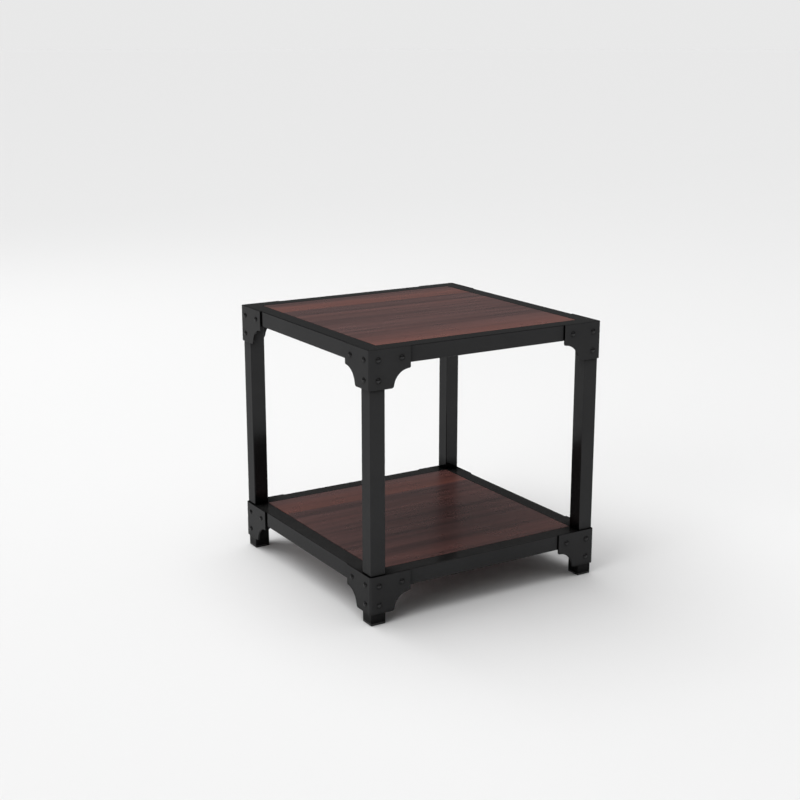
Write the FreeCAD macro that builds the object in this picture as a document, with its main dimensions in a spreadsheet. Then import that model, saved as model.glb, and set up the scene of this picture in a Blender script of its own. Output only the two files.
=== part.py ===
import FreeCAD, Part
import enum
import math
import os
import re
import Sketcher

# A square end table with a lower shelf. A frame of black square tube holds two wood boards, and folded
# steel brackets with a scalloped lower edge clasp each corner of both frames, held by domed rivets.
# All lengths are in millimetres. The origin is on the floor under the table's middle, with +X to the
# right, +Y to the back and +Z up.

SIZES = {
    # The whole table, over the outer faces of the brackets
    "table_width": 500,
    "table_depth": 500,
    "table_height": 500,
    # Height of the shelf's upper face above the floor
    "shelf_height": 92.5,
    # Square tube of the legs and rails
    "tube_side": 30,
    "tube_wall": 1.2,
    "tube_corner_radius": 1.5,
    "tube_inner_radius": 0.5,
    # How far a cut's outline runs past what it cuts
    "cut_overrun": 2,
    # Folded corner bracket: its wings run along both faces of a corner
    "bracket_plate": 3,
    "bracket_wing": 83.5,
    "bracket_height": 71,
    "bracket_toe": 49.5,
    "bracket_scallop_radius": 32,
    "bracket_ear_radius": 3,
    "bracket_toe_radius": 5,
    "bracket_bend_relief": 0.5,
    "bracket_edge_radius": 0.8,
    # Domed rivets: places on a wing are measured from the corner and from the bracket's top
    "rivet_inset": 18,
    "rivet_reach": 65,
    "rivet_drop": 18.5,
    "rivet_low_drop": 54.3,
    "rivet_head_diameter": 10,
    "rivet_head_height": 3,
    "rivet_shank_diameter": 5,
    "rivet_tail_diameter": 7.5,
    "rivet_tail_length": 4,
    "rivet_hole_clearance": 0.2,
    # Wood boards, flush with the top of the rails around them
    "panel_thickness": 16,
    "panel_gap": 0.5,
    "panel_edge_radius": 1,
    # Steel clips under the boards
    "clip_setback": 130,
    "clip_width": 24,
    "clip_plate": 2,
    "clip_reach": 22,
    "clip_drop": 12,
    "clip_bend_radius": 1,
    "clip_hole_reach": 13,
    # Wood screws that hold the boards down on the clips
    "screw_head_diameter": 8,
    "screw_head_height": 2.4,
    "screw_diameter": 3.5,
    "screw_length": 14,
    "screw_tip_length": 4,
    "screw_hole_clearance": 0.25,
    "pilot_spare_depth": 1,
    # Plastic foot plugs in the ends of the legs
    "foot_flange": 4,
    "foot_edge_radius": 1,
    "foot_stem_length": 18,
    "foot_stem_play": 1.2,
    "foot_stem_wall": 2,
    "foot_fin_thickness": 1.2,
    "foot_fin_pitch": 5,
    "foot_fin_clearance": 0.1,
}

# Lengths that follow from the sizes above
TUBE_CENTRE = "(bracket_plate + tube_side / 2)"
FRAME_INSET = "(bracket_plate + tube_side)"
TUBE_BORE = "(tube_side - 2 * tube_wall)"
LEG_LENGTH = "(table_height - tube_side - foot_flange)"
BEND_INNER_RADIUS = "(tube_corner_radius - bracket_bend_relief)"
BEND_OUTER_RADIUS = f"({BEND_INNER_RADIUS} + bracket_plate)"
SCALLOP_CENTRE = "(bracket_toe + bracket_scallop_radius)"
EAR_DROP = f"(bracket_height - sqrt(bracket_scallop_radius ^ 2 - (bracket_wing - {SCALLOP_CENTRE}) ^ 2))"
RIVET_HOLE_RADIUS = "(rivet_shank_diameter / 2 + rivet_hole_clearance)"
RIVET_GRIP = "(bracket_plate + tube_wall)"
SCREW_INSET = f"({FRAME_INSET} + clip_hole_reach)"
SCREW_HOLE_RADIUS = "(screw_diameter / 2 + screw_hole_clearance)"
PILOT_DEPTH = "(screw_length - clip_plate + pilot_spare_depth)"
PANEL_HALF_WIDTH = f"(table_width / 2 - {FRAME_INSET} - panel_gap)"
PANEL_HALF_DEPTH = f"(table_depth / 2 - {FRAME_INSET} - panel_gap)"
FOOT_STEM_SIDE = f"({TUBE_BORE} - 2 * foot_stem_play)"
FOOT_FIN_SIDE = f"({TUBE_BORE} - 2 * foot_fin_clearance)"

# What a mitre takes off a rail, as distances back from the frame's corner along the rail and inwards across
# it: past the outer face, along the eased corner to the mitre, and past the inner face and the end
MITRE = (
    (f"({BEND_INNER_RADIUS} + cut_overrun)", "(-cut_overrun)"),
    (f"({BEND_INNER_RADIUS} / 2)", f"({BEND_INNER_RADIUS} / 2)"),
    ("(tube_side + cut_overrun)", "(tube_side + cut_overrun)"),
    ("(-cut_overrun)", "(tube_side + cut_overrun)"),
    ("(-cut_overrun)", "(-cut_overrun)"),
)
# The two frames, by the height of their upper face
LEVELS = {"top": "table_height", "shelf": "shelf_height"}
# Both outer faces of a corner: the plane of each, and whether a cut into the corner runs along its normal
CORNER_FACES = {"XZ_Plane": False, "YZ_Plane": True}
# Places of the rivets on a wing: distance from the corner, and height from the bracket's top
RIVET_SPOTS = (
    ("rivet_inset", "-rivet_drop"),
    ("rivet_reach", "-rivet_drop"),
    ("rivet_inset", "-rivet_low_drop"),
)
FIN_COUNT = 3
QUARTER_TURN = 90
FULL_TURN = 360

RIGHT = FreeCAD.Vector(1, 0, 0)
BACK = FreeCAD.Vector(0, 1, 0)
UP = FreeCAD.Vector(0, 0, 1)


class Mark(enum.IntEnum):
    """How a sketch numbers the points of an element and its own axes."""

    START = 1
    END = 2
    CENTRE = 3
    X_AXIS = -1
    Y_AXIS = -2


def quarter_turned(turns):
    """A rotation about the vertical axis by quarter turns."""
    return FreeCAD.Rotation(UP, turns * QUARTER_TURN)


def round_the_table(names, first):
    """Direction in X and in Y from the table's middle, and quarter turns from the first, of each named place."""
    places = {}
    for turns, name in enumerate(names):
        outwards = quarter_turned(turns).multVec(first)
        places[name] = (round(outwards.x), round(outwards.y), turns)
    return places


# A rail runs along X at the front and is turned round to the other sides, as a bracket is to the other corners
CORNERS = round_the_table(("front_left", "front_right", "back_right", "back_left"), -RIGHT - BACK)
SIDES = round_the_table(("front", "right", "back", "left"), -BACK)

doc = FreeCAD.newDocument("end_table")
sheet = doc.addObject("Spreadsheet::Sheet", "Sizes")
for row, (alias, number) in enumerate(SIZES.items(), start=1):
    sheet.set(f"A{row}", alias)
    sheet.set(f"B{row}", str(number))
    sheet.setAlias(f"B{row}", alias)
doc.recompute()


def measure(expression):
    """The length that an expression in the sizes' names comes to."""
    return float(sheet.evalExpression(expression))


def bind(item, path, expression):
    """Ties a property to the sheet, with each size's name in the expression pointing at its cell."""
    tied = re.sub(r"[a-z_]+", lambda word: f"Sizes.{word[0]}" if word[0] in SIZES else word[0], expression)
    item.setExpression(path, tied)


def place(item, x, y, z, rotation):
    """Sets a piece down at a point that follows the sheet."""
    item.Placement = FreeCAD.Placement(FreeCAD.Vector(), rotation)
    for axis, expression in zip("xyz", (x, y, z)):
        bind(item, f"Placement.Base.{axis}", expression)


def place_round(item, side, level):
    """Sets a corner's or a side's piece down at the table's outer faces."""
    across, along, turns = side
    x = f"{across} * table_width / 2"
    y = f"{along} * table_depth / 2"
    place(item, x, y, level, quarter_turned(turns))


def new_body(label):
    body = doc.addObject("PartDesign::Body", label)
    body.Label = label
    return body


def origin_feature(body, role):
    return next(feature for feature in body.Origin.OriginFeatures if feature.Role == role)


def new_sketch(body, name, role, offset="0"):
    """A sketch on one of the body's own planes, moved along the plane's normal."""
    sketch = body.newObject("Sketcher::SketchObject", name)
    sketch.AttachmentSupport = (origin_feature(body, role), [""])
    sketch.MapMode = "FlatFace"
    bind(sketch, "AttachmentOffset.Base.z", offset)
    return sketch


def hold(sketch, kind, elements, expression):
    """Adds a dimension that follows the sheet."""
    index = sketch.addConstraint(Sketcher.Constraint(kind, *elements, measure(expression)))
    name = f"{kind}_{index}"
    sketch.renameConstraint(index, name)
    bind(sketch, f"Constraints.{name}", expression)


def hold_point(sketch, element, end, x, y):
    """Holds an end or centre of a sketch element at its two coordinates."""
    for kind, expression, axis in (("DistanceX", x, Mark.Y_AXIS), ("DistanceY", y, Mark.X_AXIS)):
        if expression == "0":
            sketch.addConstraint(Sketcher.Constraint("PointOnObject", element, end, axis))
        else:
            hold(sketch, kind, (Mark.X_AXIS, Mark.START, element, end), expression)


def point(x, y):
    return FreeCAD.Vector(measure(x), measure(y), 0)


def draw_circle(sketch, x, y, radius):
    circle = sketch.addGeometry(Part.Circle(point(x, y), UP, measure(radius)))
    hold_point(sketch, circle, Mark.CENTRE, x, y)
    hold(sketch, "Radius", (circle,), radius)


def draw_polygon(sketch, corners):
    """Closed outline of straight lines through corners given as pairs of expressions."""
    following = corners[1:] + corners[:1]
    lines = [sketch.addGeometry(Part.LineSegment(point(*a), point(*b))) for a, b in zip(corners, following)]
    for line, next_line, corner in zip(lines, lines[1:] + lines[:1], corners):
        sketch.addConstraint(Sketcher.Constraint("Coincident", line, Mark.END, next_line, Mark.START))
        hold_point(sketch, line, Mark.START, *corner)


def draw_rounded_square(sketch, x, y, side, radius):
    """Square outline with round corners about a middle point."""
    arcs = []
    for turn, (right, up) in enumerate(((1, -1), (1, 1), (-1, 1), (-1, -1))):
        arc_x = f"{x} + {right} * ({side} / 2 - {radius})"
        arc_y = f"{y} + {up} * ({side} / 2 - {radius})"
        circle = Part.Circle(point(arc_x, arc_y), UP, measure(radius))
        first_angle = math.radians((turn - 1) * QUARTER_TURN)
        last_angle = math.radians(turn * QUARTER_TURN)
        arc = sketch.addGeometry(Part.ArcOfCircle(circle, first_angle, last_angle))
        hold_point(sketch, arc, Mark.CENTRE, arc_x, arc_y)
        hold(sketch, "Radius", (arc,), radius)
        arcs.append(arc)
    for arc, next_arc in zip(arcs, arcs[1:] + arcs[:1]):
        edge = Part.LineSegment(sketch.getPoint(arc, Mark.END), sketch.getPoint(next_arc, Mark.START))
        line = sketch.addGeometry(edge)
        sketch.addConstraint(Sketcher.Constraint("Tangent", arc, Mark.END, line, Mark.START))
        sketch.addConstraint(Sketcher.Constraint("Tangent", line, Mark.END, next_arc, Mark.START))


def pad(body, sketch, length, downwards=False, both_ways=False):
    feature = body.newObject("PartDesign::Pad", f"{sketch.Label}_pad")
    feature.Profile = sketch
    feature.Reversed = downwards
    feature.SideType = "Symmetric" if both_ways else "One side"
    bind(feature, "Length", length)
    doc.recompute()
    return feature


def pocket(body, sketch, depth=None, along_normal=False):
    """Cuts a sketch into the body, right through where no depth is given."""
    volume = body.Shape.Volume
    feature = body.newObject("PartDesign::Pocket", f"{sketch.Label}_pocket")
    feature.Profile = sketch
    feature.Reversed = along_normal
    if depth is None:
        feature.Type = "ThroughAll"
    else:
        bind(feature, "Length", depth)
    doc.recompute()
    if not feature.Shape.Volume < volume:
        raise RuntimeError(f"{body.Label}: {feature.Label} cuts nothing")
    return feature


def nearest_edge(shape, spot):
    """Name of the edge whose middle lies nearest to a spot given as three expressions."""
    target = FreeCAD.Vector(*(measure(expression) for expression in spot))
    distances = [(edge.CenterOfMass - target).Length for edge in shape.Edges]
    return f"Edge{distances.index(min(distances)) + 1}"


def round_edges(body, name, radius, spots):
    """Rounds the edges that lie nearest to the given spots."""
    base = body.Tip
    feature = body.newObject("PartDesign::Fillet", name)
    feature.Base = (base, [nearest_edge(base.Shape, spot) for spot in spots])
    bind(feature, "Radius", radius)
    doc.recompute()
    return feature


def draw_tube_section(sketch, x, y):
    draw_rounded_square(sketch, x, y, "tube_side", "tube_corner_radius")
    draw_rounded_square(sketch, x, y, TUBE_BORE, "tube_inner_radius")


def make_leg(label, corner):
    """Square tube from the foot plug up to the top frame, with the rivets' holes in its two outer walls."""
    body = new_body(label)
    section = new_sketch(body, "section", "XY_Plane")
    draw_tube_section(section, TUBE_CENTRE, TUBE_CENTRE)
    pad(body, section, LEG_LENGTH)
    hole_heights = (
        "table_height - rivet_low_drop - foot_flange",
        "shelf_height - rivet_drop - foot_flange",
        "shelf_height - rivet_low_drop - foot_flange",
    )
    for plane, along_normal in CORNER_FACES.items():
        holes = new_sketch(body, "rivet_holes", plane)
        for height in hole_heights:
            draw_circle(holes, "rivet_inset", height, RIVET_HOLE_RADIUS)
        pocket(body, holes, TUBE_CENTRE, along_normal)
    place_round(body, corner, "foot_flange")
    return body


def make_rail(label, side, level, span, length, rivet_insets, mitred):
    """Square tube along one side of a frame, with the rivets' holes in its outer wall near both ends."""
    body = new_body(label)
    section = new_sketch(body, "section", "YZ_Plane")
    draw_tube_section(section, TUBE_CENTRE, "-tube_side / 2")
    pad(body, section, length, both_ways=True)
    if mitred:
        mitre = new_sketch(body, "mitre", "XY_Plane")
        for end in (-1, 1):
            outline = []
            for back, inwards in MITRE:
                outline.append((f"{end} * ({length} / 2 - {back})", f"bracket_plate + {inwards}"))
            draw_polygon(mitre, outline)
        pocket(body, mitre)
    holes = new_sketch(body, "rivet_holes", "XZ_Plane")
    for inset in rivet_insets:
        for end in (-1, 1):
            draw_circle(holes, f"{end} * ({span} / 2 - {inset})", "-rivet_drop", RIVET_HOLE_RADIUS)
    pocket(body, holes, TUBE_CENTRE)
    place_round(body, side, level)
    return body


def outer_outline(shape):
    """Names of the edges round a bracket's outer side, where both its wings lie on the frame's planes."""

    def is_outer(face):
        return all(min(vertex.X, vertex.Y) <= vertex.Tolerance for vertex in face.Vertexes)

    names = []
    for number, edge in enumerate(shape.Edges, start=1):
        outer_faces = [face for face in shape.ancestorsOfType(edge, Part.Face) if is_outer(face)]
        if len(outer_faces) == 1 and not edge.isClosed():
            names.append(f"Edge{number}")
    return names


def make_bracket(label, corner, level):
    """Folded plate round a corner: two wings, each scalloped between its ear and its toe."""
    body = new_body(label)
    fold = new_sketch(body, "fold", "XY_Plane")
    front_wing = [("0", "0"), ("bracket_wing", "0"), ("bracket_wing", "bracket_plate")]
    side_wing = [("bracket_plate", "bracket_plate"), ("bracket_plate", "bracket_wing"), ("0", "bracket_wing")]
    draw_polygon(fold, front_wing + side_wing)
    pad(body, fold, "bracket_height", downwards=True)
    middle = "-bracket_height / 2"
    round_edges(body, "outer_bend", BEND_OUTER_RADIUS, [("0", "0", middle)])
    round_edges(body, "inner_bend", BEND_INNER_RADIUS, [("bracket_plate", "bracket_plate", middle)])
    for plane, along_normal in CORNER_FACES.items():
        scallop = new_sketch(body, "scallop", plane)
        draw_circle(scallop, SCALLOP_CENTRE, "-bracket_height", "bracket_scallop_radius")
        pocket(body, scallop, along_normal=along_normal)
        holes = new_sketch(body, "rivet_holes", plane)
        for reach, height in RIVET_SPOTS:
            draw_circle(holes, reach, height, RIVET_HOLE_RADIUS)
        pocket(body, holes, along_normal=along_normal)
    half_plate = "bracket_plate / 2"
    tips = {"ear": ("bracket_wing", f"-{EAR_DROP}"), "toe": ("bracket_toe", "-bracket_height")}
    for name, (reach, height) in tips.items():
        spots = [(reach, half_plate, height), (half_plate, reach, height)]
        round_edges(body, name, f"bracket_{name}_radius", spots)
    outline = body.Tip
    eased = body.newObject("PartDesign::Fillet", "eased_outline")
    eased.Base = (outline, outer_outline(outline.Shape))
    bind(eased, "Radius", "bracket_edge_radius")
    doc.recompute()
    place_round(body, corner, level)
    return body


def make_foot(label, corner):
    """Plastic plug in a leg's end: a flange to stand on and a hollow stem with fins that grip the tube."""
    body = new_body(label)
    flange = new_sketch(body, "flange", "XY_Plane")
    draw_rounded_square(flange, TUBE_CENTRE, TUBE_CENTRE, "tube_side", "tube_corner_radius")
    flange_pad = pad(body, flange, "foot_flange")
    lowest = min(range(len(flange_pad.Shape.Faces)), key=lambda k: flange_pad.Shape.Faces[k].CenterOfMass.z)
    edge = body.newObject("PartDesign::Fillet", "edge")
    edge.Base = (flange_pad, [f"Face{lowest + 1}"])
    bind(edge, "Radius", "foot_edge_radius")
    stem = new_sketch(body, "stem", "XY_Plane", "foot_flange")
    draw_rounded_square(stem, TUBE_CENTRE, TUBE_CENTRE, FOOT_STEM_SIDE, "tube_inner_radius")
    pad(body, stem, "foot_stem_length")
    fin = new_sketch(body, "fin", "XY_Plane", "foot_flange + foot_fin_pitch - foot_fin_thickness")
    draw_rounded_square(fin, TUBE_CENTRE, TUBE_CENTRE, FOOT_FIN_SIDE, "tube_inner_radius")
    fin_pad = pad(body, fin, "foot_fin_thickness")
    fins = body.newObject("PartDesign::LinearPattern", "fins")
    fins.Originals = [fin_pad]
    fins.Direction = (origin_feature(body, "Z_Axis"), [""])
    fins.Occurrences = FIN_COUNT
    bind(fins, "Length", f"foot_fin_pitch * {FIN_COUNT - 1}")
    body.Tip = fins
    doc.recompute()
    hollow = new_sketch(body, "hollow", "XY_Plane", "foot_flange + foot_stem_length")
    hollow_side = f"({FOOT_STEM_SIDE} - 2 * foot_stem_wall)"
    draw_rounded_square(hollow, TUBE_CENTRE, TUBE_CENTRE, hollow_side, "tube_inner_radius")
    pocket(body, hollow, "foot_stem_length")
    place_round(body, corner, "0")
    return body


def spots_under_panel(inset):
    """Two places along each side, the same distance in from the outer faces: X, Y and quarter turns."""
    spots = []
    for across, along, turns in SIDES.values():
        for end in (-1, 1):
            if across:
                x = f"{across} * (table_width / 2 - {inset})"
                y = f"{end} * (table_depth / 2 - clip_setback)"
            else:
                x = f"{end} * (table_width / 2 - clip_setback)"
                y = f"{along} * (table_depth / 2 - {inset})"
            spots.append((x, y, turns))
    return spots


def make_panel(label, level):
    """Square board with eased upper edges and the screws' pilot holes in its underside."""
    body = new_body(label)
    outline = new_sketch(body, "outline", "XY_Plane")
    corners = []
    for right, back in ((-1, -1), (1, -1), (1, 1), (-1, 1)):
        corners.append((f"{right} * {PANEL_HALF_WIDTH}", f"{back} * {PANEL_HALF_DEPTH}"))
    draw_polygon(outline, corners)
    pad(body, outline, "panel_thickness", downwards=True)
    upper_edges = []
    for side in (-1, 1):
        upper_edges.append((f"{side} * {PANEL_HALF_WIDTH}", "0", "0"))
        upper_edges.append(("0", f"{side} * {PANEL_HALF_DEPTH}", "0"))
    round_edges(body, "eased_edges", "panel_edge_radius", upper_edges)
    pilots = new_sketch(body, "pilot_holes", "XY_Plane", "-panel_thickness")
    for x, y, _ in spots_under_panel(SCREW_INSET):
        draw_circle(pilots, x, y, SCREW_HOLE_RADIUS)
    pocket(body, pilots, PILOT_DEPTH, along_normal=True)
    place(body, "0", "0", level, FreeCAD.Rotation())
    return body


def make_clip():
    """Bent steel clip on the inside of a rail, with a flange under the board and a hole for its screw."""
    body = new_body("clip")
    profile = new_sketch(body, "profile", "YZ_Plane")
    seat = "-panel_thickness"
    rail_face = FRAME_INSET
    flange_under = f"{seat} - clip_plate"
    upright_face = f"{rail_face} + clip_plate"
    flange_end = f"{rail_face} + clip_reach"
    upright_end = f"{seat} - clip_drop"
    upright = [(rail_face, seat), (rail_face, upright_end), (upright_face, upright_end)]
    flange = [(upright_face, flange_under), (flange_end, flange_under), (flange_end, seat)]
    draw_polygon(profile, upright + flange)
    pad(body, profile, "clip_width", both_ways=True)
    round_edges(body, "inner_bend", "clip_bend_radius", [("0", upright_face, flange_under)])
    round_edges(body, "outer_bend", "clip_bend_radius + clip_plate", [("0", rail_face, seat)])
    hole = new_sketch(body, "screw_hole", "XY_Plane")
    draw_circle(hole, "0", SCREW_INSET, SCREW_HOLE_RADIUS)
    pocket(body, hole)
    return body


def make_domed_pin(label, head_radius, head_height, shank):
    """Turned piece with a domed head above its seat and a shank below, given as radius and height."""
    body = new_body(label)
    profile = new_sketch(body, "profile", "XZ_Plane")
    outline = [(head_radius, "0")] + shank + [("0", head_height)]
    lines = []
    for first, last in zip(outline, outline[1:]):
        lines.append(profile.addGeometry(Part.LineSegment(point(*first), point(*last))))
    for line, next_line in zip(lines, lines[1:]):
        profile.addConstraint(Sketcher.Constraint("Coincident", line, Mark.END, next_line, Mark.START))
    for line, corner in zip(lines, outline):
        hold_point(profile, line, Mark.START, *corner)
    hold_point(profile, lines[-1], Mark.END, *outline[-1])
    dome_radius = f"(({head_radius}) ^ 2 + ({head_height}) ^ 2) / (2 * {head_height})"
    dome_middle = point("0", f"{head_height} - {dome_radius}")
    rim = point(*outline[0]) - dome_middle
    crown = point(*outline[-1]) - dome_middle
    sphere = Part.Circle(dome_middle, UP, measure(dome_radius))
    dome = profile.addGeometry(Part.ArcOfCircle(sphere, RIGHT.getAngle(rim), RIGHT.getAngle(crown)))
    profile.addConstraint(Sketcher.Constraint("Coincident", dome, Mark.START, lines[0], Mark.START))
    profile.addConstraint(Sketcher.Constraint("Coincident", dome, Mark.END, lines[-1], Mark.END))
    profile.addConstraint(Sketcher.Constraint("PointOnObject", dome, Mark.CENTRE, Mark.Y_AXIS))
    turned = body.newObject("PartDesign::Revolution", "turned")
    turned.Profile = profile
    turned.ReferenceAxis = (profile, ["V_Axis"])
    turned.Angle = FULL_TURN
    doc.recompute()
    return body


def make_rivet():
    """Rivet that clamps a bracket on a tube's wall, its tail spread against the wall's inside."""
    shank_radius = "rivet_shank_diameter / 2"
    tail_radius = "rivet_tail_diameter / 2"
    grip_end = f"-{RIVET_GRIP}"
    tail_end = f"{grip_end} - rivet_tail_length"
    shank = [(shank_radius, "0"), (shank_radius, grip_end), (tail_radius, grip_end), (tail_radius, tail_end)]
    shank += [("0", tail_end)]
    return make_domed_pin("rivet", "rivet_head_diameter / 2", "rivet_head_height", shank)


def make_screw():
    """Round-headed wood screw with a pointed end."""
    shank_radius = "screw_diameter / 2"
    shank_end = "-(screw_length - screw_tip_length)"
    shank = [(shank_radius, "0"), (shank_radius, shank_end), ("0", "-screw_length")]
    return make_domed_pin("screw", "screw_head_diameter / 2", "screw_head_height", shank)


def make_group(label, master, spots):
    """Copies of one piece, each at its own spot, as a group of separate solids."""
    copies = []
    for x, y, z, rotation in spots:
        copy = doc.addObject("App::Link", f"{label}_copy")
        copy.LinkedObject = master
        place(copy, x, y, z, rotation)
        copies.append(copy)
    group = doc.addObject("Part::Compound", label)
    group.Label = label
    group.Links = copies
    return group


def make_rivets(label, master, corner, level):
    """The six rivets of a bracket, three on each wing, with their heads outwards."""
    head_to_front = FreeCAD.Rotation(RIGHT, QUARTER_TURN)
    head_to_left = FreeCAD.Rotation(BACK, -QUARTER_TURN)
    spots = [(reach, "0", height, head_to_front) for reach, height in RIVET_SPOTS]
    spots += [("0", reach, height, head_to_left) for reach, height in RIVET_SPOTS]
    group = make_group(label, master, spots)
    place_round(group, corner, level)
    return group


def make_clips(label, master, level):
    spots = [(x, y, "0", quarter_turned(turns)) for x, y, turns in spots_under_panel("0")]
    group = make_group(label, master, spots)
    place(group, "0", "0", level, FreeCAD.Rotation())
    return group


def make_screws(label, master, level):
    head_down = FreeCAD.Rotation(RIGHT, 2 * QUARTER_TURN)
    seat = "-(panel_thickness + clip_plate)"
    spots = [(x, y, seat, head_down) for x, y, _ in spots_under_panel(SCREW_INSET)]
    group = make_group(label, master, spots)
    place(group, "0", "0", level, FreeCAD.Rotation())
    return group


def make_frame(level_name, level):
    """The four rails of one frame: mitred all round at the top, butted between the legs at the shelf."""
    rails = []
    for side_name, side in SIDES.items():
        span = "table_depth" if side[0] else "table_width"
        if level_name == "top":
            length = f"({span} - 2 * bracket_plate)"
            rivet_insets = ("rivet_inset", "rivet_reach")
        else:
            length = f"({span} - 2 * {FRAME_INSET})"
            rivet_insets = ("rivet_reach",)
        mitred = level_name == "top"
        label = f"{level_name}_rail_{side_name}"
        rails.append(make_rail(label, side, level, span, length, rivet_insets, mitred))
    return rails


def make_table():
    """All the table's pieces, each of which becomes a file."""
    rivet = make_rivet()
    screw = make_screw()
    clip = make_clip()
    pieces = []
    for corner_name, corner in CORNERS.items():
        pieces.append(make_leg(f"leg_{corner_name}", corner))
        pieces.append(make_foot(f"foot_{corner_name}", corner))
    for level_name, level in LEVELS.items():
        pieces += make_frame(level_name, level)
        pieces.append(make_panel(f"{level_name}_panel", level))
        pieces.append(make_clips(f"{level_name}_panel_clips", clip, level))
        pieces.append(make_screws(f"{level_name}_panel_screws", screw, level))
        for corner_name, corner in CORNERS.items():
            pieces.append(make_bracket(f"{level_name}_bracket_{corner_name}", corner, level))
            pieces.append(make_rivets(f"{level_name}_rivets_{corner_name}", rivet, corner, level))
    doc.recompute()
    return pieces


def check_and_write(pieces):
    """Stops at any piece that failed, and otherwise writes each one to its own file."""
    for item in doc.Objects:
        if "Invalid" in item.State or "Error" in item.State:
            raise RuntimeError(f"{item.Label} failed: {item.State}")
    for piece in pieces:
        if piece.Shape.isNull() or not piece.Shape.isValid():
            raise RuntimeError(f"{piece.Label} has no valid shape")
    os.makedirs("parts", exist_ok=True)
    for piece in pieces:
        piece.Shape.exportStep(f"parts/{piece.Label}.step")


check_and_write(make_table())
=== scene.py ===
import math

import bmesh
import bpy
from bpy.props import FloatProperty, FloatVectorProperty, PointerProperty
from mathutils import Matrix, Vector


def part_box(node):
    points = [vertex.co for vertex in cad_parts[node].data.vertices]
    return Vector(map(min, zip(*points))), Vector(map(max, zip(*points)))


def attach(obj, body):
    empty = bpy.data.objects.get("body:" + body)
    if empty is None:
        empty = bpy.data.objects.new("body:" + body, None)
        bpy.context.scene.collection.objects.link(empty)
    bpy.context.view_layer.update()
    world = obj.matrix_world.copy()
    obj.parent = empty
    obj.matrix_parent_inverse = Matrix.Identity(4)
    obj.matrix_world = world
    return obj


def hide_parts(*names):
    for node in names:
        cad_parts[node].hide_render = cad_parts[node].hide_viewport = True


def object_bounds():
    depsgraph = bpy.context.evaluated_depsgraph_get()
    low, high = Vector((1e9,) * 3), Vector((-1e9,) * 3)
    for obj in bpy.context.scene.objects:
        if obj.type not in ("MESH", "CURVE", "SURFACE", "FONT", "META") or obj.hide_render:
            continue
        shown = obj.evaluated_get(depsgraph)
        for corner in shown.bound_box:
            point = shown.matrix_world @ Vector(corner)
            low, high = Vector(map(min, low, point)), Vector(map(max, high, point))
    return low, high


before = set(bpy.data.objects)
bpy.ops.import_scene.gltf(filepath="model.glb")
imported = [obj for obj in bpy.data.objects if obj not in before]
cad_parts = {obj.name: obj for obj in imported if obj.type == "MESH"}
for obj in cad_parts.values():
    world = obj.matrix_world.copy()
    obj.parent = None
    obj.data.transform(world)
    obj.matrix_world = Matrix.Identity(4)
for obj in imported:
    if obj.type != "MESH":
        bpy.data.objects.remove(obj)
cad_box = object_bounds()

bl_info = {
    "name": "End Table with Shelf",
    "version": (1, 0, 0),
    "blender": (4, 5, 0),
    "location": "3D View > Sidebar > End Table",
    "description": "Finishes, screws and studio of a square end table with a lower shelf",
    "category": "Object",
}

UNIT = (0.0, 1.0)
WHITE = (1.0, 1.0, 1.0, 1.0)

# Sockets of a node that mixes colours go by number, because others on it have the same names
MIX_FACTOR = 0
MIX_FIRST = 6
MIX_SECOND = 7
MIX_RESULT = 2

# Wear and painted highlight along edges: how a rounded normal faces the flat one, from a clear face to an
# edge, and its patches
BEVEL_SAMPLES = 6
FACE_TO_EDGE = (0.995, 0.8)
WEAR_PATCH_SIZE = 0.012
WEAR_PATCH_RANGE = (0.42, 0.66)
WEAR_AMOUNTS = (0.4, 1.0)

# Painted shade: the coat is darkened in creases, round the rivets, under the brackets and near the floor
PAINTED_SHADE_SAMPLES = 8
PAINTED_SHADE_POWER = 4.0

# Dust and painted light: how far a face looks up, from where none is laid to where all of it is, and its
# patches
DUST_AND_PAINTED_LIGHT_SLOPES = (0.7, 0.95)
DUST_PATCH_SIZE = 0.02
DUST_PATCH_RANGE = (0.3, 0.7)
DUST_AMOUNTS = (0.8, 1.1)

MARK_SIZE = 0.07
MARK_RANGE = (0.35, 0.7)

# Coat: shades and shares of roughness go from a clean spot to a marked one, and peel is the ripple's depth
COAT_METALLIC = 0.75
COAT_IOR = 1.3
COAT_SHADES = (1.06, 0.94)
COAT_ROUGH_SHARES = (0.85, 1.2)
PEEL_STRENGTH = 0.6
FRAME_PEEL = 0.00006
SHEET_PEEL = 0.00008
RIVET_PEEL = 0.00004

# Both boards are alike, so the top one gives the size that the wood's figure is laid out on
BOARD_LOW, BOARD_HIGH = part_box("top_panel")
BOARD_DEPTH = BOARD_HIGH.y - BOARD_LOW.y

# How red the wood is across a board, at shares of its depth from the front. A joint parts the two strips.
JOINT_SHARE = 0.805
FRONT_STRIP_SHARES = (
    (0.0, 0.95),
    (0.07, 0.8),
    (0.14, 0.42),
    (0.24, 0.24),
    (0.34, 0.14),
    (0.42, 0.26),
    (0.5, 0.12),
    (0.58, 0.24),
    (0.66, 0.4),
    (0.735, 0.04),
    (0.79, 0.14),
)
BACK_STRIP_SHARES = ((0.805, 1.0), (0.87, 0.86), (0.91, 0.7), (0.945, 0.24), (1.0, 0.12))
# How far back from the front a board's redness is cut down; on the shelf this is painted shade under the top
# board
FRONT_PAINTED_SHADE_REACH = 0.28
WANDER_SIZES = (0.35, 0.05, 0.05)
WANDER_RANGE = (0.25, 0.75)
WANDER_SHARES = (-0.03, 0.03)

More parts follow.
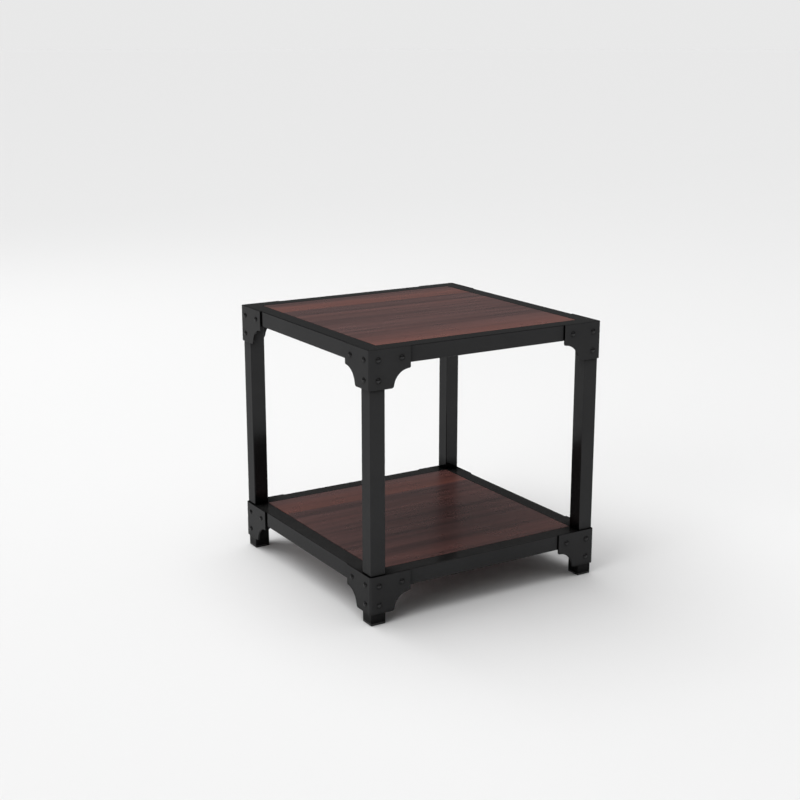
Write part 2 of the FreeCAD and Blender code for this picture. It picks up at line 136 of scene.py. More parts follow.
# Streaks are weaker where the wood is red, and pores and the joint are hollows in the lacquer
STREAK_RANGE = (0.3, 0.7)
STREAK_MIX_RANGE = (0.25, 0.85)
STREAK_MIX = (0.0, 0.9)
CALM_RANGE = (0.2, 1.0)
CALM_SHARES = (1.0, 0.45)
LINE_RANGE = (0.35, 0.65)
LINE_SHADES = (0.8, 1.15)
PORE_RANGE = (0.6, 0.72)
HOLLOW_DARKNESS = 0.5
HOLLOW_ROUGHNESS = 0.15
LACQUER_IOR = 1.55
LACQUER_ROUGH_SHARES = (0.85, 1.15)
GRAIN_STRENGTH = 0.2
GRAIN_DEPTH = 0.0001
SHELF_WOOD_SHIFT = (0.4, 0.0, 0.0)

SPARK_SIZE = 0.0007
SPARK_RANGE = (0.3, 0.7)
SPARK_SHADES = (0.8, 1.25)
SPARK_STRENGTH = 0.3
SPARK_DEPTH = 0.00005
PLASTIC_IOR = 1.45
PLASTIC_ROUGH_SHARES = (0.9, 1.15)
PLATING_ROUGHNESS = (0.22, 0.4)

# Screws: the recess narrows to its floor, rings of the dome are shares of the head's radius, and the
# thread, the point and its tip are shares of the length and of the core
RECESS_TAPER = 0.7
RECESS_RING_SHARE = 1.2
DOME_SHARES = (0.82, 0.93, 0.985, 1.0)
THREAD_START_SHARE = 0.22
POINT_SHARE = 0.78
TIP_SHARE = 0.12
THREAD_STEPS = 16
SCREW_REACH = 0.02
SCREW_TURN = math.radians(37)
SHARP_ANGLE = math.radians(32)

# Floor: its painted fall-off of light goes from far away to the table, and the room gets brighter between
# two heights
FLOOR_SIDES = 96
FLOOR_GAP = 0.0003
FLOOR_FADE_LENGTH = 5.0
FLOOR_SHADES = (0.9, 1.02)
ROOM_RISE = (0.4, 0.9)


class CoatingSettings(bpy.types.PropertyGroup):
    """Black coat on the tubes, brackets, rivets and clips"""

    colour: FloatVectorProperty(
        name="Colour",
        description="Colour of the coat",
        subtype="COLOR",
        default=(0.0295, 0.0295, 0.03),
        min=0,
        max=1,
    )
    # The rivets' lighter colour is a painted highlight, standing for the reflection on their domes
    dome_colour_with_painted_highlight: FloatVectorProperty(
        name="Dome colour",
        description="Colour of the coat on the rivets, whose domes are rubbed a little lighter",
        subtype="COLOR",
        default=(0.046, 0.046, 0.0465),
        min=0,
        max=1,
    )
    # The lighter edge colour is partly rubbed coat and partly a painted highlight on the edges
    edge_wear_and_painted_highlight_colour: FloatVectorProperty(
        name="Edge colour",
        description="Colour where the coat is rubbed along edges",
        subtype="COLOR",
        default=(0.105, 0.103, 0.1),
        min=0,
        max=1,
    )
    # The pale colour on the shelf rails' tops is partly dust and partly painted light
    dust_and_painted_light_colour: FloatVectorProperty(
        name="Dust colour",
        description="Colour of the dust that lies on the shelf's rails",
        subtype="COLOR",
        default=(0.36, 0.35, 0.34),
        min=0,
        max=1,
    )
    dust_and_painted_light: FloatProperty(
        name="Dust and painted light",
        description="How thickly dust lies on the shelf's rails",
        subtype="FACTOR",
        default=0.125,
        min=0,
        max=1,
    )
    sheen: FloatProperty(
        name="Glancing sheen",
        description="How much of its glancing reflection the coat keeps",
        subtype="FACTOR",
        default=0.58,
        min=0,
        max=1,
    )
    roughness: FloatProperty(
        name="Roughness",
        description="Mean roughness of the coat",
        subtype="FACTOR",
        default=0.11,
        min=0,
        max=1,
    )
    peel_size: FloatProperty(
        name="Peel size",
        description="Width of the fine ripples in the coat",
        unit="LENGTH",
        default=0.0016,
        min=0.0002,
    )
    edge_width: FloatProperty(
        name="Edge width",
        description="Width of the rubbed edges",
        unit="LENGTH",
        default=0.0012,
        min=0.0001,
    )
    # Painted shade: the coat is darkened near creases and the floor, out to this reach
    painted_shade_reach: FloatProperty(
        name="Painted shade reach",
        description="How far from a crease or the floor the coat gets darker",
        unit="LENGTH",
        default=0.03,
        min=0.001,
    )


class WoodSettings(bpy.types.PropertyGroup):
    """Lacquered wood of both boards"""

    red: FloatVectorProperty(
        name="Red",
        description="Colour of the red bands",
        subtype="COLOR",
        default=(0.172, 0.0605, 0.047),
        min=0,
        max=1,
    )
    brown: FloatVectorProperty(
        name="Brown",
        description="Colour between the red bands",
        subtype="COLOR",
        default=(0.0955, 0.0485, 0.047),
        min=0,
        max=1,
    )
    dark: FloatVectorProperty(
        name="Dark",
        description="Colour of the dark streaks",
        subtype="COLOR",
        default=(0.045, 0.0215, 0.0205),
        min=0,
        max=1,
    )
    # Less red along the shelf's front is painted shade under the top board
    shelf_front_red_in_painted_shade: FloatProperty(
        name="Shelf's front red",
        description="How much of its redness the shelf's board keeps along its front",
        subtype="FACTOR",
        default=0.5,
        min=0,
        max=1,
    )
    roughness: FloatProperty(
        name="Roughness",
        description="Mean roughness of the lacquer",
        subtype="FACTOR",
        default=0.3,
        min=0,
        max=1,
    )
    streak_length: FloatProperty(
        name="Streak length",
        description="Length of a streak along the board",
        unit="LENGTH",
        default=0.6,
        min=0.01,
    )
    streak_width: FloatProperty(
        name="Streak width",
        description="Width of a streak across the board",
        unit="LENGTH",
        default=0.016,
        min=0.001,
    )
    pore_length: FloatProperty(
        name="Pore length",
        description="Length of a pore along the board",
        unit="LENGTH",
        default=0.018,
        min=0.001,
    )
    pore_width: FloatProperty(
        name="Pore width",
        description="Width of a pore across the board",
        unit="LENGTH",
        default=0.0006,
        min=0.0001,
    )
    joint_width: FloatProperty(
        name="Joint width",
        description="Width of the dark line between two strips",
        unit="LENGTH",
        default=0.0008,
        min=0.0001,
    )


class FootSettings(bpy.types.PropertyGroup):
    """Moulded plastic of the foot plugs"""

    colour: FloatVectorProperty(
        name="Colour",
        description="Colour of the plastic",
        subtype="COLOR",
        default=(0.008, 0.008, 0.0085),
        min=0,
        max=1,
    )
    roughness: FloatProperty(
        name="Roughness",
        description="Mean roughness of the plastic",
        subtype="FACTOR",
        default=0.48,
        min=0,
        max=1,
    )


class ScrewSettings(bpy.types.PropertyGroup):
    """Zinc-plated screws that hold the boards"""

    bright: FloatVectorProperty(
        name="Bright",
        description="Colour of the clean plating",
        subtype="COLOR",
        default=(0.62, 0.61, 0.57),
        min=0,
        max=1,
    )
    dull: FloatVectorProperty(
        name="Dull",
        description="Colour of the clouded plating",
        subtype="COLOR",
        default=(0.4, 0.39, 0.36),
        min=0,
        max=1,
    )
    head_width: FloatProperty(
        name="Head width",
        description="Width of the domed head",
        unit="LENGTH",
        default=0.008,
        min=0.001,
    )
    head_height: FloatProperty(
        name="Head height",
        description="Height of the domed head",
        unit="LENGTH",
        default=0.0024,
        min=0.0005,
    )
    recess_reach: FloatProperty(
        name="Recess reach",
        description="Length of the cross recess across the head",
        unit="LENGTH",
        default=0.0046,
        min=0.0005,
    )
    recess_width: FloatProperty(
        name="Recess width",
        description="Width of an arm of the cross recess",
        unit="LENGTH",
        default=0.0012,
        min=0.0001,
    )
    recess_depth: FloatProperty(
        name="Recess depth",
        description="Depth of the cross recess",
        unit="LENGTH",
        default=0.0015,
        min=0.0001,
    )
    thread_width: FloatProperty(
        name="Thread width",
        description="Width of the screw over its thread",
        unit="LENGTH",
        default=0.0035,
        min=0.0005,
    )
    thread_depth: FloatProperty(
        name="Thread depth",
        description="How far the thread stands out from the core",
        unit="LENGTH",
        default=0.0005,
        min=0.0001,
    )
    thread_pitch: FloatProperty(
        name="Thread pitch",
        description="Distance from turn to turn of the thread",
        unit="LENGTH",
        default=0.0013,
        min=0.0002,
    )


class StageSettings(bpy.types.PropertyGroup):
    """Floor, light and camera"""

    floor_colour: FloatVectorProperty(
        name="Floor colour",
        description="Colour of the floor near the table",
        subtype="COLOR",
        default=(0.8, 0.8, 0.8),
        min=0,
        max=1,
    )
    floor_radius: FloatProperty(
        name="Floor radius",
        description="How far the floor reaches",
        unit="LENGTH",
        default=400,
        min=1,
    )
    backdrop: FloatProperty(
        name="Backdrop",
        description="Brightness of the backdrop, the same as the far floor's",
        default=0.811,
        min=0,
    )
    horizon_strength: FloatProperty(
        name="Horizon strength",
        description="Brightness of the room low down, all round",
        default=0.12,
        min=0,
    )
    ceiling_strength: FloatProperty(
        name="Ceiling strength",
        description="Brightness of the room straight overhead",
        default=0.56,
        min=0,
    )
    canopy_strength: FloatProperty(
        name="Canopy strength",
        description="Strength of the wide soft canopy overhead",
        default=2.16,
        min=0,
    )
    canopy_spread: FloatProperty(
        name="Canopy spread",
        description="Angle that the canopy fills, which softens the shadows",
        subtype="ANGLE",
        default=math.radians(72),
    )
    canopy_lean_left: FloatProperty(
        name="Canopy lean left",
        description="Angle that the canopy leans over to the left",
        subtype="ANGLE",
        default=math.radians(10),
    )
    canopy_lean_back: FloatProperty(
        name="Canopy lean back",
        description="Angle that the canopy leans over to the back",
        subtype="ANGLE",
        default=math.radians(12),
    )
    lamp_power: FloatProperty(
        name="Lamp power",
        description="Power of the soft lamp behind the table",
        unit="POWER",
        default=18.6,
        min=0,
    )
    lamp_place: FloatVectorProperty(
        name="Lamp place",
        description="Where the soft lamp behind the table hangs",
        subtype="TRANSLATION",
        unit="LENGTH",
        default=(-0.6, 3.2, 3.0),
    )
    lamp_size: FloatProperty(
        name="Lamp size",
        description="Width of the soft lamp",
        unit="LENGTH",
        default=2.2,
        min=0.01,
    )
    fill_strength: FloatProperty(
        name="Fill strength",
        description="Strength of the wide low light at the left, which reaches in under the shelf",
        default=0.9,
        min=0,
    )
    fill_spread: FloatProperty(
        name="Fill spread",
        description="Angle that the low light fills",
        subtype="ANGLE",
        default=math.radians(40),
    )
    fill_place: FloatVectorProperty(
        name="Fill place",
        description="Where the low light stands, of which only the direction counts",
        subtype="TRANSLATION",
        unit="LENGTH",
        default=(-3.65, -0.91, 1.62),
    )
    camera_place: FloatVectorProperty(
        name="Camera place",
        description="Where the camera stands",
        subtype="TRANSLATION",
        unit="LENGTH",
        default=(-1.3877, -2.1991, 0.9956),
    )
    camera_heading: FloatProperty(
        name="Heading",
        description="Angle of the camera's aim from straight back towards the right",
        subtype="ANGLE",
        default=math.radians(31.593),
    )
    camera_pitch: FloatProperty(
        name="Pitch",
        description="Angle of the camera's aim below the horizon",
        subtype="ANGLE",
        default=math.radians(14.428),
    )
    camera_lens: FloatProperty(
        name="Lens",
        description="Focal length of the camera",
        subtype="DISTANCE_CAMERA",
        default=62.0,
        min=1,
    )


class EndTableSettings(bpy.types.PropertyGroup):
    """Everything that a user of the table may change"""

    coating: PointerProperty(type=CoatingSettings)
    wood: PointerProperty(type=WoodSettings)
    foot: PointerProperty(type=FootSettings)
    screws: PointerProperty(type=ScrewSettings)
    stage: PointerProperty(type=StageSettings)


def nodes_named(*starts):
    """The table's pieces whose names start with one of the given words."""
    found = [node for name, node in sorted(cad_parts.items()) if name.startswith(starts)]
    if not found:
        raise RuntimeError(f"no piece is named {starts}")
    return found


def give_material(pieces, material):
    """Puts one material in every slot of the pieces."""
    for piece in pieces:
        for slot in piece.material_slots:
            slot.material = material


def add_object(name, data):
    """A new object in the scene."""
    thing = bpy.data.objects.new(name, data)
    bpy.context.scene.collection.objects.link(thing)
    return thing


def finish_mesh(shape, name):
    """Turns a shape into a mesh, and lets the shape go."""
    mesh = bpy.data.meshes.new(name)
    shape.to_mesh(mesh)
    shape.free()
    return mesh


def opaque(colour):
    """A colour with full alpha."""
    return (*colour, 1.0)


def set_inputs(tree, node, inputs):
    """Sets a node's inputs, or links them to other nodes, by name or number."""
    for key, value in inputs.items():
        if isinstance(value, bpy.types.NodeSocket):
            tree.links.new(value, node.inputs[key])
        else:
            node.inputs[key].default_value = value


def add_node(tree, kind, inputs=None, **settings):
    """Adds a node, sets it up, and sets or links its inputs."""
    node = tree.nodes.new(kind)
    for name, value in settings.items():
        setattr(node, name, value)
    set_inputs(tree, node, inputs or {})
    return node


def calculate(tree, operation, first, second=0.0):
    """The result of a sum, product or comparison of values."""
    return add_node(tree, "ShaderNodeMath", {0: first, 1: second}, operation=operation).outputs[0]


def vector_math(tree, operation, first, second=(0.0, 0.0, 0.0)):
    """The vector and the value that come of working on two vectors."""
    return add_node(tree, "ShaderNodeVectorMath", {0: first, 1: second}, operation=operation).outputs


def remap(tree, value, source, target=UNIT):
    """Maps a value from one range to another, held within the second."""
    inputs = {"Value": value, "From Min": source[0], "From Max": source[1]}
    inputs.update({"To Min": target[0], "To Max": target[1]})
    return add_node(tree, "ShaderNodeMapRange", inputs).outputs[0]


def mix_colours(tree, factor, first, second, blend="MIX"):
    """Goes from the first colour to the second, or blends the second into it."""
    inputs = {MIX_FACTOR: factor, MIX_FIRST: first, MIX_SECOND: second}
    return add_node(tree, "ShaderNodeMix", inputs, data_type="RGBA", blend_type=blend).outputs[MIX_RESULT]


def noise(tree, vector, sizes, detail=2.0, roughness=0.5):
    """Noise whose lumps have the given sizes along X, Y and Z."""
    lumps = add_node(tree, "ShaderNodeCombineXYZ", dict(zip("XYZ", sizes))).outputs[0]
    scaled = vector_math(tree, "DIVIDE", vector, lumps)["Vector"]
    inputs = {"Vector": scaled, "Scale": 1.0, "Detail": detail, "Roughness": roughness}
    return add_node(tree, "ShaderNodeTexNoise", inputs).outputs[0]


def ramp(tree, value, stops):
    """Smooth ramp of greys through stops given as position and grey."""
    node = add_node(tree, "ShaderNodeValToRGB", {0: value})
    node.color_ramp.interpolation = "B_SPLINE"
    elements = node.color_ramp.elements
    while len(elements) < len(stops):
        elements.new(1.0)
    for element, (position, grey) in zip(elements, stops):
        element.position = position
        element.color = opaque((grey, grey, grey))
    return node.outputs[0]


def new_group(name, inputs, outputs):
    """An empty shader node group with its named sockets, and its input and output nodes."""
    group = bpy.data.node_groups.new(name, "ShaderNodeTree")
    for socket, kind in inputs.items():
        group.interface.new_socket(socket, in_out="INPUT", socket_type=kind)
    for socket in outputs:
        group.interface.new_socket(socket, in_out="OUTPUT", socket_type="NodeSocketFloat")
    return group, add_node(group, "NodeGroupInput").outputs, add_node(group, "NodeGroupOutput")


def place_group(tree, name, build, inputs):
    """Places the group of that name, built the first time that a material asks for it."""
    group = bpy.data.node_groups.get(name) or build(name)
    return add_node(tree, "ShaderNodeGroup", inputs, node_tree=group).outputs


def build_edge_wear_and_painted_highlight(name):
    """Mask along the edges of a piece, broken up by noise, for rubbed wear and a painted highlight."""
    inputs = {"Vector": "NodeSocketVector", "Width": "NodeSocketFloat"}
    group, given, output = new_group(name, inputs, ("Edge",))
    rounded = add_node(group, "ShaderNodeBevel", {"Radius": given["Width"]}, samples=BEVEL_SAMPLES)
    flat = add_node(group, "ShaderNodeNewGeometry").outputs["Normal"]
    facing = vector_math(group, "DOT_PRODUCT", rounded.outputs[0], flat)["Value"]
    edge = remap(group, facing, FACE_TO_EDGE)
    patches = noise(group, given["Vector"], (WEAR_PATCH_SIZE,) * 3, detail=4.0, roughness=0.65)
    rubbed = remap(group, patches, WEAR_PATCH_RANGE, WEAR_AMOUNTS)
    set_inputs(group, output, {"Edge": calculate(group, "MULTIPLY", edge, rubbed)})
    return group


def build_painted_shade(name):
    """Painted shade: how open a surface is, from dark in a crease to light on a clear face."""
    group, given, output = new_group(name, {"Reach": "NodeSocketFloat"}, ("Open",))
    inputs = {"Distance": given["Reach"]}
    around = add_node(group, "ShaderNodeAmbientOcclusion", inputs, samples=PAINTED_SHADE_SAMPLES).outputs["AO"]
    set_inputs(group, output, {"Open": calculate(group, "POWER", around, PAINTED_SHADE_POWER)})
    return group


def build_dust_and_painted_light(name):
    """Mask of the dust and the painted light on faces that look up."""
    inputs = {"Vector": "NodeSocketVector", "Amount": "NodeSocketFloat"}
    group, given, output = new_group(name, inputs, ("Dust and painted light",))
    normal = add_node(group, "ShaderNodeNewGeometry").outputs["Normal"]
    upward = add_node(group, "ShaderNodeSeparateXYZ", {0: normal}).outputs["Z"]
    level = remap(group, upward, DUST_AND_PAINTED_LIGHT_SLOPES)
    patches = noise(group, given["Vector"], (DUST_PATCH_SIZE,) * 3, detail=4.0, roughness=0.6)
    dust_and_painted_light_mask = calculate(group, "MULTIPLY", level, remap(group, patches, DUST_PATCH_RANGE, DUST_AMOUNTS))
    set_inputs(group, output, {"Dust and painted light": calculate(group, "MULTIPLY", dust_and_painted_light_mask, given["Amount"])})
    return group


def build_handling(name):
    """Faint cloudy marks of wiping and handling."""
    group, given, output = new_group(name, {"Vector": "NodeSocketVector"}, ("Marks",))
    clouds = noise(group, given["Vector"], (MARK_SIZE,) * 3, detail=3.0, roughness=0.6)
    set_inputs(group, output, {"Marks": remap(group, clouds, MARK_RANGE)})
    return group


def build_ripple(name):
    """Fine ripples of a sprayed or moulded skin."""
    inputs = {"Vector": "NodeSocketVector", "Size": "NodeSocketFloat"}
    group, given, output = new_group(name, inputs, ("Height",))
    set_inputs(group, output, {"Height": noise(group, given["Vector"], (given["Size"],) * 3)})
    return group


def build_wood_figure(name):
    """Bands, streaks, fine lines and pores of the wood along X, and the joint between its strips."""
    inputs = {"Vector": "NodeSocketVector", "Front Red In Painted Shade": "NodeSocketFloat"}
    for length in ("Streak Length", "Streak Width", "Pore Length", "Pore Width", "Joint Width"):
        inputs[length] = "NodeSocketFloat"
    outputs = ("Redness", "Streaks", "Lines", "Pores", "Joint")
    group, given, output = new_group(name, inputs, outputs)
    vector = given["Vector"]
    across = add_node(group, "ShaderNodeSeparateXYZ", {0: vector}).outputs["Y"]
    share = remap(group, across, (BOARD_LOW.y, BOARD_HIGH.y))
    wander = remap(group, noise(group, vector, WANDER_SIZES, detail=3.0), WANDER_RANGE, WANDER_SHARES)
    wandering = calculate(group, "ADD", share, wander)
    front_strip = ramp(group, wandering, FRONT_STRIP_SHARES)
    back_strip = ramp(group, wandering, BACK_STRIP_SHARES)
    is_back = calculate(group, "GREATER_THAN", share, JOINT_SHARE)
    strips = mix_colours(group, is_back, front_strip, back_strip)
    # Redness cut down towards the front, which on the shelf is painted shade
    front_red_in_painted_shade = remap(group, share, (0.0, FRONT_PAINTED_SHADE_REACH), (given["Front Red In Painted Shade"], 1.0))
    from_joint = calculate(group, "ABSOLUTE", calculate(group, "SUBTRACT", share, JOINT_SHARE))
    joint_share = calculate(group, "DIVIDE", given["Joint Width"], BOARD_DEPTH)
    streak_sizes = (given["Streak Length"], given["Streak Width"], given["Streak Width"])
    line_sizes = (given["Streak Width"], given["Pore Width"], given["Pore Width"])
    pore_sizes = (given["Pore Length"], given["Pore Width"], given["Pore Width"])
    streaks = noise(group, vector, streak_sizes, detail=5.0, roughness=0.62)
    pores = noise(group, vector, pore_sizes, detail=1.0)
    results = {
        "Redness": calculate(group, "MULTIPLY", strips, front_red_in_painted_shade),
        "Streaks": remap(group, streaks, STREAK_RANGE),
        "Lines": noise(group, vector, line_sizes, roughness=0.6),
        "Pores": remap(group, pores, PORE_RANGE),
        "Joint": calculate(group, "LESS_THAN", from_joint, joint_share),
    }
    set_inputs(group, output, results)
    return group


def empty_material(name):
    """A material without nodes, and its tree."""
    material = bpy.data.materials.new(name)
    material.use_nodes = True
    material.node_tree.nodes.clear()
    return material, material.node_tree


def new_material(name):
    """A material with a Principled shader, its tree, the shader and the piece's own coordinates."""
    material, tree = empty_material(name)
    shader = add_node(tree, "ShaderNodeBsdfPrincipled")
    add_node(tree, "ShaderNodeOutputMaterial", {"Surface": shader.outputs[0]})
    return material, tree, shader, add_node(tree, "ShaderNodeTexCoord").outputs["Object"]


def raised(tree, height, strength, depth):
    """Normal of a surface whose height goes up to the given depth in metres."""
    inputs = {"Height": height, "Strength": strength, "Distance": depth}
    return add_node(tree, "ShaderNodeBump", inputs).outputs[0]


def marked_roughness(tree, marks, roughness, shares):
    """Roughness that the marks change from one share of its mean to another."""
    return remap(tree, marks, UNIT, (roughness * shares[0], roughness * shares[1]))


def make_coating(name, settings, peel_depth, rough_share=1.0, colour=None, dust_and_painted_light=0.0):
    """Black coat with a fine ripple, faint marks, rubbed edges with a painted highlight, painted shade in
    creases and perhaps some dust with painted light.
    """
    material, tree, shader, place = new_material(name)
    edge = place_group(tree, "edge_wear_and_painted_highlight", build_edge_wear_and_painted_highlight, {"Vector": place, "Width": settings.edge_width})
    marks = place_group(tree, "handling", build_handling, {"Vector": place})["Marks"]
    ripple = place_group(tree, "ripple", build_ripple, {"Vector": place, "Size": settings.peel_size})
    crease = place_group(tree, "crease", build_painted_shade, {"Reach": settings.painted_shade_reach})
    # Edges get a lighter colour, partly rubbed coat and partly painted highlight
    coat = mix_colours(tree, edge["Edge"], opaque(colour or settings.colour), opaque(settings.edge_wear_and_painted_highlight_colour))
    # Upward faces get a paler colour, partly dust and partly painted light
    if dust_and_painted_light > 0:
        dust_and_painted_light_mask = place_group(tree, "dust_and_painted_light", build_dust_and_painted_light, {"Vector": place, "Amount": dust_and_painted_light})
        coat = mix_colours(tree, dust_and_painted_light_mask["Dust and painted light"], coat, opaque(settings.dust_and_painted_light_colour))
    # Painted shade: the colour is darkened where the surface is closed in, in creases and near the floor
    shade = calculate(tree, "MULTIPLY", crease["Open"], remap(tree, marks, UNIT, COAT_SHADES))
    inputs = {
        "Base Color": mix_colours(tree, 1.0, coat, shade, "MULTIPLY"),
        "Roughness": marked_roughness(tree, marks, settings.roughness * rough_share, COAT_ROUGH_SHARES),
        "Metallic": COAT_METALLIC,
        "IOR": COAT_IOR,
        "Specular Tint": opaque((settings.sheen,) * 3),
        "Normal": raised(tree, ripple["Height"], PEEL_STRENGTH, peel_depth),
    }
    set_inputs(tree, shader, inputs)
    return material


def make_wood(name, settings, shift, front_red_in_painted_shade):
    """Lacquered wood with red and brown bands, dark streaks and fine pores along the board."""
    material, tree, shader, place = new_material(name)
    moved = add_node(tree, "ShaderNodeMapping", {"Vector": place, "Location": shift}).outputs[0]
    inputs = {
        "Vector": moved,
        "Front Red In Painted Shade": front_red_in_painted_shade,
        "Streak Length": settings.streak_length,
        "Streak Width": settings.streak_width,
        "Pore Length": settings.pore_length,
        "Pore Width": settings.pore_width,
        "Joint Width": settings.joint_width,
    }
    figure = place_group(tree, "wood_figure", build_wood_figure, inputs)
    marks = place_group(tree, "handling", build_handling, {"Vector": place})["Marks"]
    dark = opaque(settings.dark)
    colour = mix_colours(tree, figure["Redness"], opaque(settings.brown), opaque(settings.red))
    streaks = remap(tree, figure["Streaks"], STREAK_MIX_RANGE, STREAK_MIX)
    calm = remap(tree, figure["Redness"], CALM_RANGE, CALM_SHARES)
    colour = mix_colours(tree, calculate(tree, "MULTIPLY", streaks, calm), colour, dark)
    lines = remap(tree, figure["Lines"], LINE_RANGE, LINE_SHADES)
    colour = mix_colours(tree, 1.0, colour, lines, "MULTIPLY")
    hollows = calculate(tree, "MAXIMUM", figure["Pores"], figure["Joint"])
    colour = mix_colours(tree, calculate(tree, "MULTIPLY", hollows, HOLLOW_DARKNESS), colour, dark)
    lacquer = marked_roughness(tree, marks, settings.roughness, LACQUER_ROUGH_SHARES)
    rougher = calculate(tree, "MULTIPLY", hollows, HOLLOW_ROUGHNESS)
    grain = calculate(tree, "SUBTRACT", figure["Lines"], hollows)
    inputs = {
        "Base Color": colour,
        "Roughness": calculate(tree, "ADD", lacquer, rougher),
        "IOR": LACQUER_IOR,
        "Normal": raised(tree, grain, GRAIN_STRENGTH, GRAIN_DEPTH),
    }
    set_inputs(tree, shader, inputs)
    return material


def make_foot_plastic(settings):
    """Black moulded plastic with a fine spark texture."""
    material, tree, shader, place = new_material("foot_plastic")
    marks = place_group(tree, "handling", build_handling, {"Vector": place})["Marks"]
    spark = place_group(tree, "ripple", build_ripple, {"Vector": place, "Size": SPARK_SIZE})["Height"]
    shade = remap(tree, spark, SPARK_RANGE, SPARK_SHADES)
    inputs = {
        "Base Color": mix_colours(tree, 1.0, opaque(settings.colour), shade, "MULTIPLY"),
        "Roughness": marked_roughness(tree, marks, settings.roughness, PLASTIC_ROUGH_SHARES),
        "IOR": PLASTIC_IOR,
        "Normal": raised(tree, spark, SPARK_STRENGTH, SPARK_DEPTH),
    }
    set_inputs(tree, shader, inputs)
    return material


def make_screw_steel(settings):
    """Zinc-plated steel, clouded and a little duller in patches."""
    material, tree, shader, place = new_material("screw_steel")
    marks = place_group(tree, "handling", build_handling, {"Vector": place})["Marks"]
    inputs = {
        "Base Color": mix_colours(tree, marks, opaque(settings.bright), opaque(settings.dull)),
        "Roughness": remap(tree, marks, UNIT, PLATING_ROUGHNESS),
        "Metallic": 1.0,
    }
    set_inputs(tree, shader, inputs)
    return material


class ENDTABLE_OT_coat_frame(bpy.types.Operator):
    """Coat the legs and rails black, with a little dust and painted light on the shelf's rails"""

    bl_idname = "end_table.coat_frame"
    bl_label = "Legs and rails"

    def execute(self, context):
        settings = context.scene.end_table.coating
        clean = make_coating("frame_coating", settings, FRAME_PEEL)
        dusty = make_coating("shelf_frame_coating", settings, FRAME_PEEL, dust_and_painted_light=settings.dust_and_painted_light)
        give_material(nodes_named("leg_", "top_rail_"), clean)
        give_material(nodes_named("shelf_rail_"), dusty)
        return {"FINISHED"}


class ENDTABLE_OT_coat_brackets(bpy.types.Operator):
    """Coat the folded corner brackets black"""

    bl_idname = "end_table.coat_brackets"
    bl_label = "Corner brackets"

    def execute(self, context):
        settings = context.scene.end_table.coating
        coating = make_coating("bracket_coating", settings, SHEET_PEEL, rough_share=1.1)
        give_material(nodes_named("top_bracket_", "shelf_bracket_"), coating)
        return {"FINISHED"}


class ENDTABLE_OT_coat_rivets(bpy.types.Operator):
    """Coat the domed rivets black"""

    bl_idname = "end_table.coat_rivets"
    bl_label = "Rivets"

    def execute(self, context):
        settings = context.scene.end_table.coating
        # The domes' lighter colour is a painted highlight
        colour = settings.dome_colour_with_painted_highlight
        coating = make_coating("rivet_coating", settings, RIVET_PEEL, rough_share=0.9, colour=colour)
        give_material(nodes_named("top_rivets_", "shelf_rivets_"), coating)
        return {"FINISHED"}


class ENDTABLE_OT_coat_clips(bpy.types.Operator):
    """Coat the clips under the boards black"""

    bl_idname = "end_table.coat_clips"
    bl_label = "Board clips"

    def execute(self, context):
        settings = context.scene.end_table.coating
        coating = make_coating("clip_coating", settings, SHEET_PEEL, rough_share=1.4)
        give_material(nodes_named("top_panel_clips", "shelf_panel_clips"), coating)
        return {"FINISHED"}


class ENDTABLE_OT_lacquer_boards(bpy.types.Operator):
    """Give both boards their lacquered wood"""

    bl_idname = "end_table.lacquer_boards"
    bl_label = "Wood boards"

    def execute(self, context):
        settings = context.scene.end_table.wood
        top_wood = make_wood("top_wood", settings, (0.0, 0.0, 0.0), 1.0)
        # The shelf's board is less red along its front, a painted shade under the top board
        shelf_wood = make_wood("shelf_wood", settings, SHELF_WOOD_SHIFT, settings.shelf_front_red_in_painted_shade)
        give_material([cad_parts["top_panel"]], top_wood)
        give_material([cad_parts["shelf_panel"]], shelf_wood)
        return {"FINISHED"}


class ENDTABLE_OT_mould_feet(bpy.types.Operator):
    """Give the foot plugs their moulded plastic"""

    bl_idname = "end_table.mould_feet"
    bl_label = "Foot plugs"

    def execute(self, context):
        give_material(nodes_named("foot_"), make_foot_plastic(context.scene.end_table.foot))
        return {"FINISHED"}


def of_kind(items, kind):
    """The items that are of one kind of geometry."""
    return [item for item in items if isinstance(item, kind)]


def open_edges(items):
    """The edges among the items that have a face on one side only."""
    return [edge for edge in of_kind(items, bmesh.types.BMEdge) if edge.is_boundary]


def extend_ring(shape, ring, radius, height):
    """Extrudes a ring of edges round Z to a new radius and height, and gives its new edges."""
    made = bmesh.ops.extrude_edge_only(shape, edges=ring)["geom"]
    for vert in of_kind(made, bmesh.types.BMVert):
        vert.co.xy = vert.co.xy.normalized() * radius
        vert.co.z = height
    return open_edges(made)


